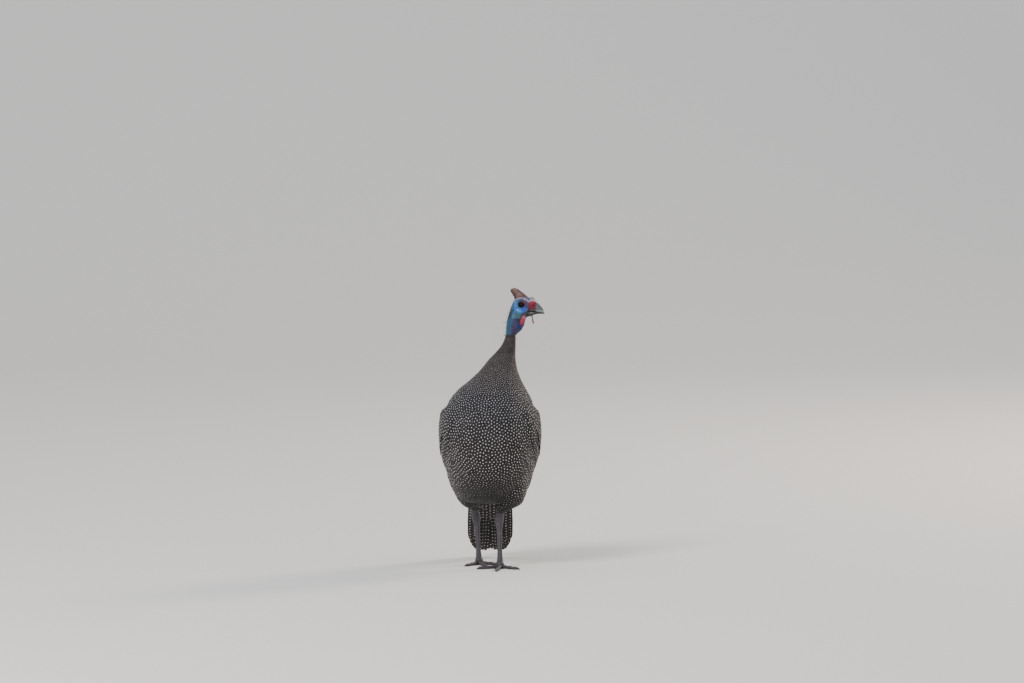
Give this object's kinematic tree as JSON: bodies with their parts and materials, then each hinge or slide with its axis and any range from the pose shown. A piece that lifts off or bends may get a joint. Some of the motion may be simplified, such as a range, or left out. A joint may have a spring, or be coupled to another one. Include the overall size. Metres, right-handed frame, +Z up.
{
  "type": "helmeted guinea fowl",
  "caption": "Life-size standing guinea fowl with a bony helmet, bare head, wattles, spotted plumage, folded wings and a drooping tail, for display",
  "frame": {"origin": "on the floor under the middle of the bird's box", "axes": "+Z up, the body faces -Y, and the bird's left side is towards +X"},
  "size_m": [0.193, 0.2912, 0.5087],
  "materials": {
    "spotted_plumage": "slate-black feathers with round white spots",
    "neck_plumage": "short grey-brown feathers with fine wavy bars",
    "blue_skin": "bare wrinkled skin, light blue on the face and deep blue on the throat",
    "red_skin": "smooth crimson skin",
    "helmet_horn": "dull brown horn with a pale rim",
    "bill_horn": "grey horn, paler at the tip",
    "eye": "wet dark brown",
    "leg_scale": "slate-grey overlapping scales",
    "claw_horn": "dark horn"
  },
  "bodies": {
    "root": {"torso": "spotted_plumage", "neck": "neck_plumage", "head": "blue_skin", "cere": "red_skin", "helmet": "helmet_horn", "bill_upper": "bill_horn", "bill_lower": "bill_horn", "eye_left": "eye", "eye_right": "eye", "wattle_left": "red_skin", "wattle_right": "red_skin", "wing_left": "spotted_plumage", "wing_right": "spotted_plumage", "tail": "spotted_plumage", "thigh_left": "spotted_plumage", "shank_left": "leg_scale", "foot_left": "leg_scale", "toe_inner_left": "leg_scale", "claw_inner_left": "claw_horn", "toe_middle_left": "leg_scale", "claw_middle_left": "claw_horn", "toe_outer_left": "leg_scale", "claw_outer_left": "claw_horn", "toe_hind_left": "leg_scale", "claw_hind_left": "claw_horn", "thigh_right": "spotted_plumage", "shank_right": "leg_scale", "foot_right": "leg_scale", "toe_inner_right": "leg_scale", "claw_inner_right": "claw_horn", "toe_middle_right": "leg_scale", "claw_middle_right": "claw_horn", "toe_outer_right": "leg_scale", "claw_outer_right": "claw_horn", "toe_hind_right": "leg_scale", "claw_hind_right": "claw_horn"}
  },
  "joints": []
}
